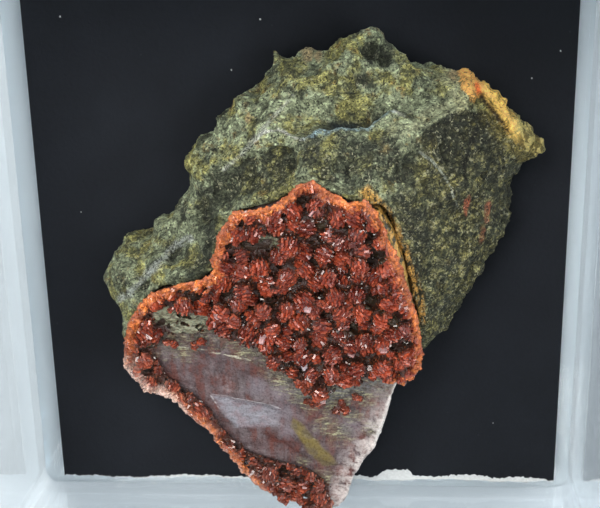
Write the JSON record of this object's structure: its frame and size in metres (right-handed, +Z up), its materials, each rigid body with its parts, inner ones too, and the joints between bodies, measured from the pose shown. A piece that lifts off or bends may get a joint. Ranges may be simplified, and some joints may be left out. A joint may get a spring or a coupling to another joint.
{
  "type": "clinoptilolite specimen",
  "caption": "Clinoptilolite specimen: brick-red crust of zeolite rosettes on a pale vein slab and grey-green rock, lying on black card in the open base of a small clear box.",
  "frame": {"origin": "middle of the box's underside", "axes": "+Z up, out of the box's open side; +Y towards the rocky top end of the specimen; +X towards the horn at the rock's right end"},
  "size_m": [0.0512, 0.0512, 0.028],
  "materials": {
    "clear_plastic": "clear moulded plastic, glossy, with fine handling scuffs",
    "black_card": "matte black face over a white core, with specks of dust",
    "green_rock": "granular grey-green altered rock with a sparkle of fine grains and an ochre weathered shoulder",
    "pale_vein": "translucent lavender-white, with glassy cleavage steps and yellow-green stains",
    "red_crystal": "small glassy tabular crystals, brick red, turning orange at the broken rim"
  },
  "bodies": {
    "root": {"box_base": "clear_plastic", "black_card": "black_card", "matrix_rock": "green_rock", "pale_slab": "pale_vein", "red_crust": "red_crystal", "red_cluster_1": "red_crystal", "red_cluster_2": "red_crystal", "red_cluster_3": "red_crystal", "red_cluster_4": "red_crystal", "red_cluster_5": "red_crystal"}
  },
  "joints": []
}
